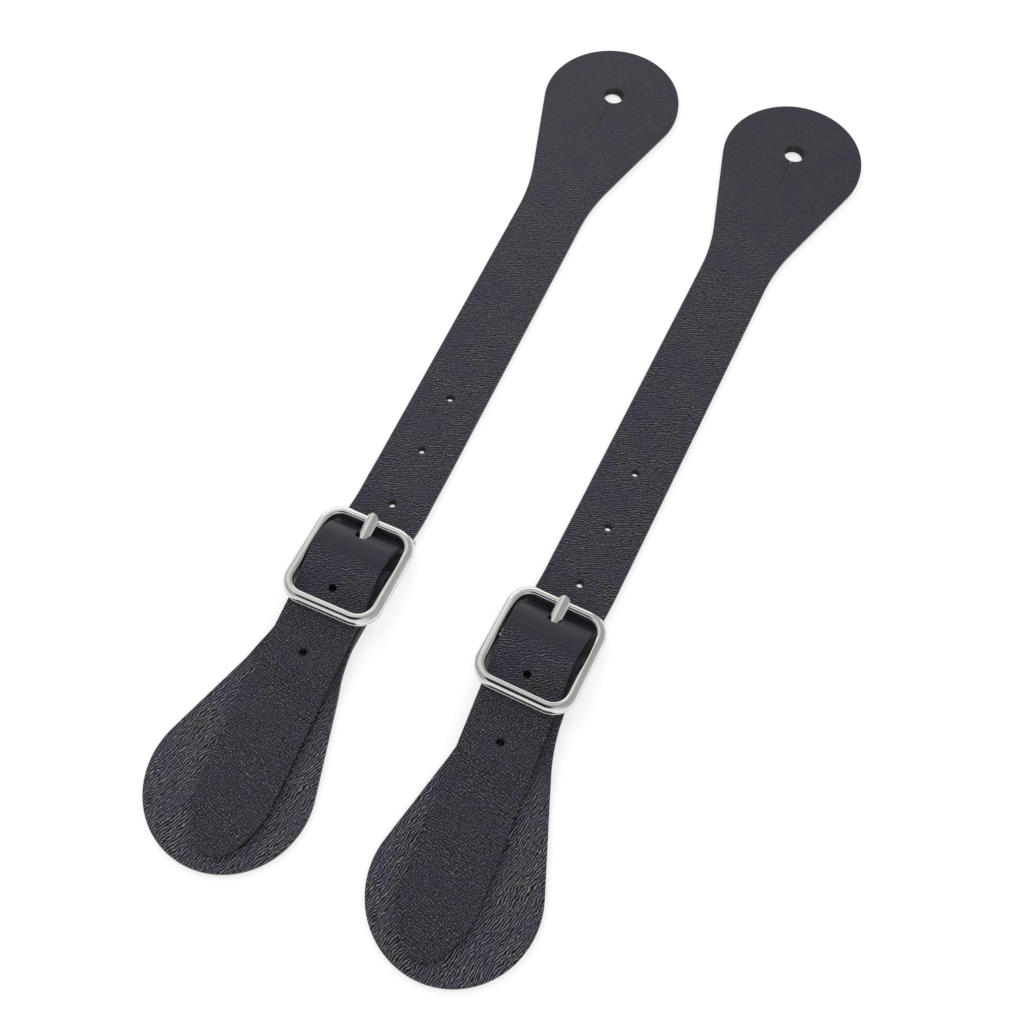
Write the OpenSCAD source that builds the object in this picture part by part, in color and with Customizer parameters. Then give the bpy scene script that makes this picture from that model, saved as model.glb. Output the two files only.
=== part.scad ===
// A pair of buckled leather spur straps, lying flat side by side.
// Each one is a long strap with a pear-shaped button end, fastened through the
// centre-bar buckle that a short, pear-ended strap is folded round.

/* [Leather] */
// Width of the straps
strap_w = 25.4; // [24:0.1:25.6]
// Thickness of the leather
leather_t = 2; // [1.8:0.1:2.1]
// Radius of the round head of each pear
pear_r = 27; // [24:0.5:30]
// Angle between a pear's straight flanks and the strap's axis
flank_angle = 16.5; // [15:0.5:20]
// Radius of the hollow between a flank and the strap's edge
neck_r = 72; // [60:1:80]
// Width of the long strap where its tip starts to round
tip_w = 24.4; // [22:0.2:25]
// Radius of the two side arcs of the tip
tip_side_r = 30; // [28:1:36]
// Radius of the tip's blunt end
tip_end_r = 8; // [5:0.5:9]

/* [Holes] */
// Radius of the hole that goes over a spur button
button_r = 4; // [3:0.05:4.5]
// Distance from the pear's centre back to the button hole, away from the strap
button_back = 1.9; // [0:0.1:4]
// Length of the slit that lets the button's head through
slit_l = 24; // [10:1:28]
// Radius of the adjustment holes
hole_r = 1.3; // [1.2:0.1:1.8]

/* [Layout] */
// Distance from the centre bar to the centre of the left long strap's pear
left_long_reach = 225.1; // [200:0.1:227]
// Distance from the centre bar to the centre of the right long strap's pear
right_long_reach = 227.3; // [227:0.1:260]
// Distance from the centre bar to the centre of the short strap's pear
short_reach = 80.5; // [78:0.1:95]
// Distance from the centre bar to the tip of the long strap
tip_reach = 102.2; // [96:0.1:104]
// Distance between the two buckles
buckle_gap = 69.3; // [66:0.1:90]
// Angle that each strap is turned outwards at its head
toe = 0.85; // [0:0.05:3]

/* [Buckle] */
// Width of the frame's opening
window_w = 28.3; // [28.2:0.1:32]
// Length of the frame's opening
window_l = 31.6; // [31.4:0.1:33]
// Inner radius of the frame's corners
corner_r = 5; // [4:0.5:8]
// Width of the frame's section
section_w = 3.6; // [3.2:0.1:3.8]
// Height of the frame's section
section_h = 3.8; // [3.6:0.1:3.9]
// Radius of the centre bar
bar_r = 1.6; // [1.5:0.1:1.6]
// Tilt of the frame, with its head end low
frame_tilt = 6.4; // [6.2:0.1:6.6]

/* [Prong] */
// Width of the prong
prong_w = 4.3; // [3.4:0.1:4.4]
// Thickness of the prong
prong_t = 2.4; // [2.2:0.1:2.4]
// Reach of the prong from the centre bar to its tip
prong_reach = 19; // [18.8:0.1:20]
// Slope of the prong where it rests on the frame
prong_slope = 7.4; // [7.3:0.1:7.8]
// Angle that the prong can lift in the strap's hole
prong_lift = 4; // [3:0.5:5]

/* [Hidden] */

$fn = 96;
left = -1;
right = 1;
leather = [0.17, 0.165, 0.19];
nickel = [0.8, 0.79, 0.77];

// Clearances between pieces
layer_gap = 0.3;
fold_gap = 0.15;
loop_play = 0.1;
prong_play = 0.05;
hole_play = 0.5;
// Longer, and taller, than anything that it cuts
through = 30;
// Wider than any piece of leather
full_w = 4 * pear_r;
slit_w = 0.3;

// The centre bars lie at this Y, so that the whole pair is centred on the origin
bar_y = (short_reach - right_long_reach) / 2;
// The right-hand short strap swings out furthest, so the pair is moved back by this
centre_x = -1.55;
// Each buckle sits a little to the left of its long strap's axis
left_buckle_x = -1.95;
right_buckle_x = -1.4;
// The sideways place of the middle of each fold, which lies against the frame's right side
left_fold_x = -0.8;
right_fold_x = -0.3;
// The frame's middle lies this far behind the centre bar
ring_back = 0.8;

// The long strap's axis is straight down to drift_start, is furthest to the left
// at drift_mid, and runs straight from there to the tip. These are its sideways
// places at drift_mid and where the tip starts to round.
drift_start = 24;
drift_mid = 0;
left_drift = [-2.9, 0.4];
right_drift = [-2.1, 4.4];
// Angle at which the short strap leaves its buckle
left_turn = -1.5;
right_turn = 6.2;
// The adjustment holes, measured from the centre bar
hole_places = [73, 50, 27, -10.2, -33.7];

// The fold of the short strap round the centre bar
loop_in = bar_r + loop_play;
loop_out = loop_in + leather_t;
loop_mid = (loop_in + loop_out) / 2;
bar_z = loop_out;
// The stretch of the fold that lies square to the centre bar
fold_square_l = 12;
// The end of the fold, thinned and laid under the short strap
flap_t = 1.4;
flap_l = 34;
flap_thin_l = 8;
// The middle of the short strap's thickness where it lies over the flap
short_mid_z = flap_t + fold_gap + leather_t / 2;
short_down_y = -flap_l - 1;
short_bend_r = 15;
short_bend_angle = 14;
climb_angle = 45;
climb_r = 5;

// The hump of the long strap over the fold, by the middle of its thickness
flat_z = leather_t / 2;
crest_y = 4;
crest_z = 9.75;
crest_r = 8;
head_angle = 72;
head_bend_r = 3.8;
tail_angle = 16;
tail_bend_r = 14;
tail_z = short_mid_z + leather_t + layer_gap + 0.15;
// Its last stretch, over the short strap's pear
tip_z = flat_z + leather_t + layer_gap;
tip_down_y = -37;
tip_bend_r = 15;
tip_bend_angle = 13;
// Where the tip starts to round, and how far the centre of its blunt end is from there
tip_side_x = tip_side_r - tip_w / 2;
tip_end_l = sqrt(pow(tip_side_r - tip_end_r, 2) - tip_side_x * tip_side_x);
tip_start = tip_end_l + tip_end_r - tip_reach;

// The frame's middle stands this high over the centre bar, on two lugs
frame_rise = 2.65;
lug_r = 2.4;
lug_w = 2.5;
lug_inset = 0.3;
// The section's corners, and the crease along its outside
section_top_r = 2.2;
section_inner_r = 1.2;
section_foot_r = 0.7;
crease = 0.28;
crease_z = -0.85;

// The prong's eye, and the radius of its rounded back
prong_eye_r = bar_r + prong_play + 1.4;
prong_back_r = 2.4;
// The slot in the fold that the prong works in
slot_w = 5.2;
slot_back = 4.6;

// Two-part rivets through the fold
rivet_x = 6.5;
rivet_y = -26;
rivet_post_r = 1.2;
rivet_tube_r = 1.7;
rivet_head_r = 3.2;
rivet_head_t = 0.45;
rivet_sink = 0.3;
short_top_z = short_mid_z + leather_t / 2;
cap_z = short_top_z - rivet_sink;
tube_z = short_top_z - leather_t + 0.2;

// Level length of an S-bend that drops by d, through bends of radius ra and rb
function bend_run(d, ra, rb, a) =
    (ra + rb) * sin(a) + (d - (ra + rb) * (1 - cos(a))) / tan(a);

// Points on an arc about c, from angle a0 to a1
function arc(c, r, a0, a1, n = 10) = [
    for (i = [0:n]) let (a = a0 + (a1 - a0) * i / n) c + r * [cos(a), sin(a)]
];

function reversed(p) = [for (i = [len(p) - 1:-1:0]) p[i]];

// ---- Side views, drawn as [y, z] ----

// One face of the long strap, from its head to its tip, o above its middle
function long_face(o) = let (
    head_y = crest_y + bend_run(crest_z - flat_z, crest_r, head_bend_r, head_angle),
    tail_y = crest_y - bend_run(crest_z - tail_z, crest_r, tail_bend_r, tail_angle),
    tip_y = tip_down_y - bend_run(tail_z - tip_z, tip_bend_r, tip_bend_r, tip_bend_angle)
) concat(
    [[right_long_reach + pear_r + 1, flat_z + o]],
    arc([head_y, flat_z + head_bend_r], head_bend_r - o, 270, 270 - head_angle),
    arc([crest_y, crest_z - crest_r], crest_r + o, 90 - head_angle, 90 + tail_angle, 20),
    arc([tail_y, tail_z + tail_bend_r], tail_bend_r - o, 270 + tail_angle, 270, 6),
    arc([tip_down_y, tail_z - tip_bend_r], tip_bend_r + o, 90, 90 + tip_bend_angle, 5),
    arc([tip_y, tip_z + tip_bend_r], tip_bend_r - o, 270 + tip_bend_angle, 270, 5),
    [[-tip_reach - 1, tip_z + o]]
);

// One face of the short strap, from its pear up to where the fold starts
function short_face(o) = let (
    drop = short_mid_z - flat_z,
    down_y = short_down_y - bend_run(drop, short_bend_r, short_bend_r, short_bend_angle),
    climb_y = -bend_run(bar_z + loop_mid - short_mid_z, loop_mid, climb_r, climb_angle)
) concat(
    [[-short_reach - pear_r - 1, flat_z + o]],
    arc([down_y, flat_z + short_bend_r], short_bend_r - o, 270, 270 + short_bend_angle, 5),
    arc([short_down_y, short_mid_z - short_bend_r], short_bend_r + o,
        90 + short_bend_angle, 90, 5),
    arc([climb_y, short_mid_z + climb_r], climb_r - o, 270, 270 + climb_angle, 6),
    [[0, bar_z] + (loop_mid + o) * [cos(90 + climb_angle), sin(90 + climb_angle)]]
);

// A solid with this side view, right across a strap
module across(points) {
    rotate([90, 0, 90]) linear_extrude(full_w, center = true) polygon(points);
}

// A cylinder along X
module rod(r, l) {
    rotate([0, 90, 0]) cylinder(r = r, h = l, center = true);
}

module long_side() {
    o = leather_t / 2;
    across(concat(long_face(o), reversed(long_face(-o))));
}

module short_side() {
    o = leather_t / 2;
    climb_end = [cos(90 + climb_angle), sin(90 + climb_angle)];
    across(concat(short_face(o), reversed(short_face(-o))));
    translate([0, 0, bar_z]) difference() {
        rod(loop_out, full_w);
        rod(loop_in, full_w + 1);
        // The mouth of the fold, between its upper and lower layers
        across([
            [0, 0], 2 * loop_out * climb_end,
            [-2 * loop_out, -2 * loop_out], [0, -2 * loop_out]
        ]);
    }
    across([
        [0, 0], [0, leather_t], [-flap_thin_l, flap_t], [-flap_l, flap_t], [-flap_l, 0]
    ]);
}

// ---- Outlines, cut right through from above ----

// A tall solid with this outline, or a tall cylinder
module upright(points) {
    translate([0, 0, -1]) linear_extrude(through) polygon(points);
}

module post(r, fn = $fn) {
    translate([0, 0, -1]) cylinder(r = r, h = through, $fn = fn);
}

// A pear with its head's centre at the origin and strap_l of strap towards -Y
module pear_outline(strap_l) {
    outward = [cos(flank_angle), -sin(flank_angle)];
    along = [-sin(flank_angle), -cos(flank_angle)];
    half = strap_w / 2;
    flank_l = ((pear_r + neck_r) * outward.x - half - neck_r) / sin(flank_angle);
    flank_start = pear_r * outward;
    flank_end = flank_start + flank_l * along;
    neck = flank_end + neck_r * outward;
    post(pear_r);
    difference() {
        upright([
            flank_start, flank_end, [half, neck.y], [half, -strap_l],
            [-half, -strap_l], [-half, neck.y], [-flank_end.x, flank_end.y],
            [-flank_start.x, flank_start.y]
        ]);
        for (s = [left, right]) translate([s * neck.x, neck.y, -1]) post(neck_r, 360);
    }
}

// The blunt tip, towards -Y, with the start of its rounding at the origin
module tip_outline() {
    half = tip_w / 2;
    side_l = tip_end_l * tip_side_r / (tip_side_r - tip_end_r);
    intersection() {
        translate([tip_side_x, 0, 0]) post(tip_side_r, 180);
        translate([-tip_side_x, 0, 0]) post(tip_side_r, 180);
        upright([[half, 2], [half, -side_l], [-half, -side_l], [-half, 2]]);
    }
    translate([0, -tip_end_l, 0]) post(tip_end_r);
}

module long_outline(reach, drift) {
    half = strap_w / 2;
    tip_half = tip_w / 2;
    lean = atan((drift[1] - drift[0]) / (drift_mid - tip_start));
    translate([0, reach, 0]) pear_outline(reach - drift_start);
    upright([
        [half, drift_start], [drift[0] + half, drift_mid], [drift[1] + tip_half, tip_start],
        [drift[1] - tip_half, tip_start], [drift[0] - half, drift_mid], [-half, drift_start]
    ]);
    translate([drift[1], tip_start, 0]) rotate(lean) tip_outline();
}

module short_outline(turn) {
    half = strap_w / 2;
    upright([
        [half, -fold_square_l], [half, 2 * loop_out],
        [-half, 2 * loop_out], [-half, -fold_square_l]
    ]);
    rotate(turn) translate([0, -short_reach, 0]) rotate(180)
        pear_outline(short_reach - fold_square_l / 2);
}

// ---- Holes ----

// A button hole with its slit, for a pear that has its strap towards -Y
module button_cut() {
    translate([0, button_back, 0]) cylinder(r = button_r, h = through, center = true);
    translate([-slit_w / 2, button_back - button_r - slit_l, -through / 2])
        cube([slit_w, slit_l + 1, through]);
}

// The sideways place of the long strap's axis at y
function axis_x(drift, y) =
    y > drift_start ? 0
    : y > drift_mid ? drift[0] * (drift_start - y) / (drift_start - drift_mid)
    : drift[0] + (drift[1] - drift[0]) * (drift_mid - y) / (drift_mid - tip_start);

// All the space that the prong passes through as it lifts
module prong_room() {
    for (a = [0, prong_lift / 2, prong_lift])
        at_bar() rotate([prong_slope + a, 0, 0])
            translate([-prong_w / 2 - hole_play, 0, prong_eye_r - prong_t - layer_gap])
                cube([prong_w + 2 * hole_play, through, prong_t + 2 * layer_gap]);
}

// ---- Places ----

// Puts one strap of the pair in its place
module placed(side) {
    $buckle_x = side == left ? left_buckle_x : right_buckle_x;
    $fold_x = side == left ? left_fold_x : right_fold_x;
    translate([centre_x + side * buckle_gap / 2, bar_y, 0]) rotate(-side * toe) children();
}

// Moves to the middle of the centre bar
module at_bar() {
    translate([$buckle_x, 0, bar_z]) children();
}

// Moves to each rivet, at table height
module at_rivets(turn) {
    for (s = [left, right])
        translate([$fold_x, 0, 0]) rotate(turn) translate([s * rivet_x, rivet_y, 0]) children();
}

// ---- The pieces of one strap ----

module long_strap(reach, drift) {
    color(leather) difference() {
        intersection() {
            long_side();
            long_outline(reach, drift);
        }
        translate([0, reach, 0]) button_cut();
        for (y = hole_places)
            translate([axis_x(drift, y), y, 0]) cylinder(r = hole_r, h = through, center = true);
        prong_room();
    }
}

module short_strap(turn) {
    color(leather) difference() {
        translate([$fold_x, 0, 0]) intersection() {
            short_side();
            short_outline(turn);
        }
        translate([$fold_x, 0, 0]) rotate(turn) translate([0, -short_reach, 0])
            rotate(180) button_cut();
        translate([$buckle_x - slot_w / 2, -slot_back, -1])
            cube([slot_w, slot_back + 2 * loop_out, through]);
        at_rivets(turn) rivet_hole();
    }
}

// The frame's section, from its inside at the origin outwards, with the crease
// along its outside
module frame_section() {
    half = section_h / 2;
    polygon(concat(
        arc([section_foot_r, section_foot_r - half], section_foot_r, 180, 270, 4),
        arc([section_w - section_foot_r, section_foot_r - half], section_foot_r, 270, 360, 4),
        [
            [section_w, crease_z - crease], [section_w - crease, crease_z],
            [section_w, crease_z + crease]
        ],
        arc([section_w - section_top_r, half - section_top_r], section_top_r, 0, 90, 8),
        arc([section_inner_r, half - section_inner_r], section_inner_r, 90, 180, 8)
    ));
}

// A straight stretch of the frame, l long, on the side of the frame at angle a
module frame_bar(a, distance, l) {
    rotate(a) translate([distance, l / 2, 0]) rotate([90, 0, 0])
        linear_extrude(l) frame_section();
}

module frame_ring() {
    x = window_w / 2 - corner_r;
    y = window_l / 2 - corner_r;
    for (a = [0, 180]) {
        frame_bar(a, window_w / 2, 2 * y);
        frame_bar(a + 90, window_l / 2, 2 * x);
    }
    for (c = [[x, y, 0], [-x, y, 90], [-x, -y, 180], [x, -y, 270]])
        translate([c.x, c.y, 0]) rotate(c.z)
            rotate_extrude(angle = 90) translate([corner_r, 0]) frame_section();
}

// The two lugs under the side bars that hold the ends of the centre bar
module frame_lugs() {
    x = window_w / 2 + lug_inset + lug_w / 2;
    foot_z = frame_rise - section_h / 2 + section_foot_r;
    for (s = [left, right]) translate([s * x, 0, 0]) {
        rod(lug_r, lug_w);
        translate([-lug_w / 2, -lug_r, 0]) cube([lug_w, 2 * lug_r, foot_z]);
    }
}

module buckle_frame() {
    color(nickel) at_bar() rotate([-frame_tilt, 0, 0]) difference() {
        union() {
            translate([0, -ring_back, frame_rise]) frame_ring();
            frame_lugs();
        }
        rod(bar_r, 3 * window_w);
    }
}

module centre_bar() {
    color(nickel) at_bar() rod(bar_r, window_w + 2 * (lug_inset + lug_w));
}

// The prong's section: flat underneath, with a rounded back
module prong_section() {
    intersection() {
        translate([-prong_w / 2, -prong_t]) square([prong_w, prong_t]);
        translate([0, -prong_back_r]) circle(prong_back_r);
    }
}

module prong() {
    straight_l = prong_reach - prong_w / 2;
    color(nickel) at_bar() rotate([prong_slope, 0, 0]) difference() {
        union() {
            rod(prong_eye_r, prong_w);
            intersection() {
                translate([0, prong_reach, prong_eye_r]) rotate([90, 0, 0])
                    linear_extrude(prong_reach) prong_section();
                linear_extrude(through) union() {
                    translate([-prong_w / 2, 0]) square([prong_w, straight_l]);
                    translate([0, straight_l]) circle(prong_w / 2);
                }
            }
        }
        rod(bar_r + prong_play, 2 * prong_w);
    }
}

module rivet_hole() {
    cylinder(r = rivet_post_r, h = through, center = true);
    translate([0, 0, -1]) cylinder(r = rivet_head_r, h = 1 + rivet_head_t);
    translate([0, 0, tube_z]) cylinder(r = rivet_tube_r, h = through);
    translate([0, 0, cap_z]) cylinder(r = rivet_head_r, h = through);
}

module rivet_posts(turn) {
    color(nickel) at_rivets(turn) {
        cylinder(r = rivet_head_r, h = rivet_head_t);
        cylinder(r = rivet_post_r, h = cap_z);
    }
}

module rivet_caps(turn) {
    color(nickel) at_rivets(turn) difference() {
        union() {
            translate([0, 0, cap_z]) cylinder(r = rivet_head_r, h = rivet_head_t);
            translate([0, 0, tube_z]) cylinder(r = rivet_tube_r, h = cap_z - tube_z + 0.1);
        }
        cylinder(r = rivet_post_r, h = cap_z);
    }
}

placed(left) long_strap(left_long_reach, left_drift);  // left_long_strap
placed(left) short_strap(left_turn);  // left_short_strap
placed(left) buckle_frame();  // left_buckle_frame
placed(left) centre_bar();  // left_centre_bar
placed(left) prong();  // left_prong
placed(left) rivet_posts(left_turn);  // left_rivet_posts
placed(left) rivet_caps(left_turn);  // left_rivet_caps
placed(right) long_strap(right_long_reach, right_drift);  // right_long_strap
placed(right) short_strap(right_turn);  // right_short_strap
placed(right) buckle_frame();  // right_buckle_frame
placed(right) centre_bar();  // right_centre_bar
placed(right) prong();  // right_prong
placed(right) rivet_posts(right_turn);  // right_rivet_posts
placed(right) rivet_caps(right_turn);  // right_rivet_caps
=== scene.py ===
import math

import bpy
import numpy as np
from mathutils import Matrix, Vector, noise
from mathutils.geometry import delaunay_2d_cdt


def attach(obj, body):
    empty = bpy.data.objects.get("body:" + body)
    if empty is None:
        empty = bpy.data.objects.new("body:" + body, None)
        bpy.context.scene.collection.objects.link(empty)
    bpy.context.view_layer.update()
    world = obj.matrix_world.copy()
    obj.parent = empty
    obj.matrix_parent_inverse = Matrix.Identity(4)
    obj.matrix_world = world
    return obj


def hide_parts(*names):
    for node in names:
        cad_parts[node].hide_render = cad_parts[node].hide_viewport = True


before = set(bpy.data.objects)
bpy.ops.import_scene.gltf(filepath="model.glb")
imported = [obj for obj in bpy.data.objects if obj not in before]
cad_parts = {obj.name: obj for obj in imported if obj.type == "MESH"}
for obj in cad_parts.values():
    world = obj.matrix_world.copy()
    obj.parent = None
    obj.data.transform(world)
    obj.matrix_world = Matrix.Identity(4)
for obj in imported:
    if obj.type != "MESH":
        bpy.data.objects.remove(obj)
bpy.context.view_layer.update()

MM = 0.001
LEFT, RIGHT = -1, 1
SIDES = {LEFT: "left", RIGHT: "right"}

# ---------------------------------------------------------------- sizes, mostly as in the CAD
# The straps' outlines
STRAP_HALF = 12.7
LEATHER_T = 2.0
PEAR_R = 27.0
FLANK_ANGLE = math.radians(16.5)
NECK_R = 72.0
TIP_HALF = 12.2
TIP_SIDE_R = 30.0
TIP_END_R = 8.0
# Button holes, each a little past its pear's middle, and adjustment holes. They are narrower
# underneath, and slanted by this much
BUTTON_R = 4.0
BUTTON_UNDER_R = 3.6
BUTTON_BACK = 1.9
BUTTON_SLANT = 1.3
SLIT_L = 24.0
SLIT_HALF, SLIT_END_HALF = 0.06, 0.02
HOLE_R = 1.35
HOLE_UNDER_R = 1.0
HOLE_SLANT = 0.55
# How far each pear's middle, and the end of each tip, is from the centre bar
LONG_REACH = {LEFT: 225.1, RIGHT: 227.3}
SHORT_REACH = 80.5
TIP_REACH = 102.2
# The heads' leather has drawn back this far from the CAD's plain outline, but not their holes
HEAD_BACK = 0.9
# Where the straps lie, and where the buckles sit on them
BUCKLE_GAP = 69.3
CENTRE_X = -1.55
TOE = math.radians(0.85)
BUCKLE_X = {LEFT: -1.95, RIGHT: -1.4}
BAR_Y = (SHORT_REACH - LONG_REACH[RIGHT]) / 2
BAR_Z = 3.7
# The straps seen from the side
LOOP_MID = 2.7
FLAP_T = 1.4
FLAP_L = 34.0
FLAP_THIN_L = 8.0
SHORT_MID_Z = 2.55
FLAT_Z = LEATHER_T / 2
CREST_Y, CREST_Z, CREST_R = 4.0, 9.75, 8.0
HEAD_ANGLE, HEAD_BEND_R = 72.0, 3.8
TAIL_ANGLE, TAIL_BEND_R, TAIL_Z = 16.0, 14.0, 5.0
TIP_Z, TIP_DOWN_Y, TIP_BEND_R, TIP_BEND_ANGLE = 3.3, -37.0, 15.0, 13.0
SHORT_DOWN_Y, SHORT_BEND_R, SHORT_BEND_ANGLE = -35.0, 15.0, 14.0
CLIMB_ANGLE, CLIMB_R = 45.0, 5.0
# The adjustment holes that show, as y, and the holes for the prong
HOLE_PLACES = [73.0, 50.0, 27.0, -10.2, -33.7]
PRONG_HOLE_HALF, PRONG_HOLE_TOP, PRONG_HOLE_UNDER = 2.35, (29, 66), (18, 60)
SLOT_HALF, SLOT_BACK = 2.6, 4.6
# The buckle's ring and its lugs, and the rivets
WINDOW_W, WINDOW_L, CORNER_R = 28.3, 31.6, 5.0
SECTION_W, SECTION_H = 3.6, 3.8
SECTION_TOP_R, SECTION_INNER_R, SECTION_FOOT_R = 2.2, 1.2, 0.7
CREASE, CREASE_Z = 0.28, -0.85
FRAME_TILT, FRAME_RISE, RING_BACK = math.radians(6.4), 2.65, 0.8
LUG_R, LUG_W, LUG_INSET = 2.4, 2.5, 0.3
RIVET_X, RIVET_Y, RIVET_HEAD_R, RIVET_POST_R = 6.5, -26.0, 3.2, 1.85
# The fold's place across the buckle, and how far each short strap is turned under its tip
FOLD_X = {LEFT: -0.8, RIGHT: -0.3}
SHORT_TURN = {LEFT: math.radians(-1.5), RIGHT: math.radians(5.8)}
# Where each long strap's middle line runs, as (y, x) from under the head to the tip
DRIFT = {
    LEFT: [(40, 0), (26, 0), (18, -0.7), (12, -1.6), (4, -2.7), (-2, -3.0), (-10, -3.0),
           (-17, -2.3), (-40, -1.3), (-78, 0.6), (-104, 1.9)],
    RIGHT: [(40, 0), (26, 0), (18, -0.4), (12, -0.9), (4, -1.8), (-2, -2.1), (-11, -1.6),
            (-17, -1.1), (-40, 0.9), (-78, 4.4), (-104, 6.8)],
}
# How finely the meshes are made: along cut edges, from row to row, and along a row
EDGE_STEP, ROW_STEP, GRID_STEP = 0.5, 1.15, 1.3
# The first row of points inside a rounded edge, the steps down the cut, and far from any cut
RIM, WALL_STEPS, FAR = 0.45, 3, 9.0
# How far the leather waves, and how far it lifts at the head and just past the buckle
WAVE, HEAD_LIFT, BUCKLE_LIFT = 0.05, 0.6, 0.4
# How far the leather is pressed in round the holes on the tail and on the shaft, and by the
# rivets' caps and heads
TAIL_DENT, SHAFT_DENT, CAP_DENT, HEAD_DENT = 0.28, 0.16, 0.32, 0.5
# How much the grain is polished away on the hump, on the head and on the fold
HUMP_POLISH, HEAD_POLISH, FOLD_POLISH = 0.93, 0.72, 0.7
# The painted shade on the floor shut in by a buckle, which cuts its glow and darkens its colour: its
# middle, from the centre bar, and where it ends and fades
PAINTED_SHADE_X, PAINTED_SHADE_Y = -1.0, 2.6
PAINTED_SHADE_HALF = [(16.6, 15.4), (16.5, 15.0)]
# The open floor's glow, and half its size in metres
GLOW, FLOOR_HALF = 0.55, 3.0


# ---------------------------------------------------------------- plane geometry
def arc(centre, radius, start, end, steps=24):
    """Points on a circle from one angle to another, in degrees."""
    a = np.radians(np.linspace(start, end, steps + 1))
    return np.array(centre) + radius * np.c_[np.cos(a), np.sin(a)]


def smooth(x):
    """A soft step from 0 to 1 as x goes from 0 to 1."""
    x = np.clip(x, 0, 1)
    return x * x * (3 - 2 * x)


def spaced(points, step, closed=False):
    """The same line with its points about step apart."""
    p = np.vstack([points, points[:1]]) if closed else np.asarray(points, float)
    length = np.r_[0, np.cumsum(np.linalg.norm(np.diff(p, axis=0), axis=1))]
    keep = np.r_[True, np.diff(length) > 1e-9]
    p, length = p[keep], length[keep]
    n = max(3, int(round(length[-1] / step)))
    t = np.linspace(0, length[-1], n + 1)[: n if closed else n + 1]
    return np.c_[np.interp(t, length, p[:, 0]), np.interp(t, length, p[:, 1])]


def resampled(points, count):
    """The same open line as this many equal steps."""
    p = np.asarray(points, float)
    length = np.r_[0, np.cumsum(np.linalg.norm(np.diff(p, axis=0), axis=1))]
    t = np.linspace(0, length[-1], count + 1)
    return np.c_[np.interp(t, length, p[:, 0]), np.interp(t, length, p[:, 1])]


def bend_run(drop, ra, rb, angle):
    """How far a line runs while it drops through two bends of these radii at this angle."""
    a = math.radians(angle)
    return (ra + rb) * math.sin(a) + (drop - (ra + rb) * (1 - math.cos(a))) / math.tan(a)


def inside(points, loop):
    """Whether each point is inside the closed loop."""
    x, y = points[:, 0:1], points[:, 1:2]
    a, b = loop, np.roll(loop, -1, axis=0)
    crosses = (a[:, 1] > y) != (b[:, 1] > y)
    rise = np.where(np.abs(b[:, 1] - a[:, 1]) < 1e-12, 1e-12, b[:, 1] - a[:, 1])
    at = a[:, 0] + (y - a[:, 1]) / rise * (b[:, 0] - a[:, 0])
    return (crosses & (x < at)).sum(1) % 2 == 1


def nearest(points, others):
    """How far each point is from the nearest of the others."""
    out = np.empty(len(points))
    for i in range(0, len(points), 2000):
        d = points[i : i + 2000, None, :] - others[None]
        out[i : i + 2000] = np.sqrt((d * d).sum(2).min(1))
    return out


def leftward(loop):
    """The unit vector to the left of a closed loop's run, at each point."""
    t = np.roll(loop, -1, axis=0) - np.roll(loop, 1, axis=0)
    t /= np.linalg.norm(t, axis=1)[:, None]
    return np.c_[-t[:, 1], t[:, 0]]


class SideLine:
    """The middle of a strap's thickness seen from the side, found by the distance along it."""

    def __init__(self, points):
        p = spaced(points, 0.1)
        self.s = np.r_[0, np.cumsum(np.linalg.norm(np.diff(p, axis=0), axis=1))]
        self.p = p
        t = np.gradient(p, self.s, axis=0)
        soft = np.ones(9) / 9
        t = np.c_[
            [np.convolve(np.pad(t[:, i], 4, "edge"), soft, "valid") for i in (0, 1)]
        ].T
        self.t = t / np.linalg.norm(t, axis=1)[:, None]

    def at(self, s):
        """y, z and the outward normal at s."""
        columns = (self.p[:, 0], self.p[:, 1], self.t[:, 0], self.t[:, 1])
        y, z, ty, tz = (np.interp(s, self.s, c) for c in columns)
        n = np.hypot(ty, tz)
        return y, z, -tz / n, ty / n

    def where(self, y, last=False):
        """The distance at which the line is at y, the first time or the last."""
        p = self.p[:, 0]
        hit = np.nonzero((p[:-1] - y) * (p[1:] - y) <= 0)[0]
        i = hit[-1] if last else hit[0]
        d = p[i + 1] - p[i]
        return self.s[i] + (self.s[i + 1] - self.s[i]) * ((y - p[i]) / d if d else 0)


# ---------------------------------------------------------------- side lines
def long_line():
    head_y = CREST_Y + bend_run(CREST_Z - FLAT_Z, CREST_R, HEAD_BEND_R, HEAD_ANGLE)
    tail_y = CREST_Y - bend_run(CREST_Z - TAIL_Z, CREST_R, TAIL_BEND_R, TAIL_ANGLE)
    tip_y = TIP_DOWN_Y - bend_run(TAIL_Z - TIP_Z, TIP_BEND_R, TIP_BEND_R, TIP_BEND_ANGLE)
    return SideLine(np.vstack([
        [[-TIP_REACH - 2, TIP_Z]],
        arc([tip_y, TIP_Z + TIP_BEND_R], TIP_BEND_R, 270, 270 + TIP_BEND_ANGLE),
        arc([TIP_DOWN_Y, TAIL_Z - TIP_BEND_R], TIP_BEND_R, 90 + TIP_BEND_ANGLE, 90),
        arc([tail_y, TAIL_Z + TAIL_BEND_R], TAIL_BEND_R, 270, 270 + TAIL_ANGLE),
        arc([CREST_Y, CREST_Z - CREST_R], CREST_R, 90 + TAIL_ANGLE, 90 - HEAD_ANGLE, 60),
        arc([head_y, FLAT_Z + HEAD_BEND_R], HEAD_BEND_R, 270 - HEAD_ANGLE, 270),
        [[LONG_REACH[RIGHT] + PEAR_R + 2, FLAT_Z]],
    ]))


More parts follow.
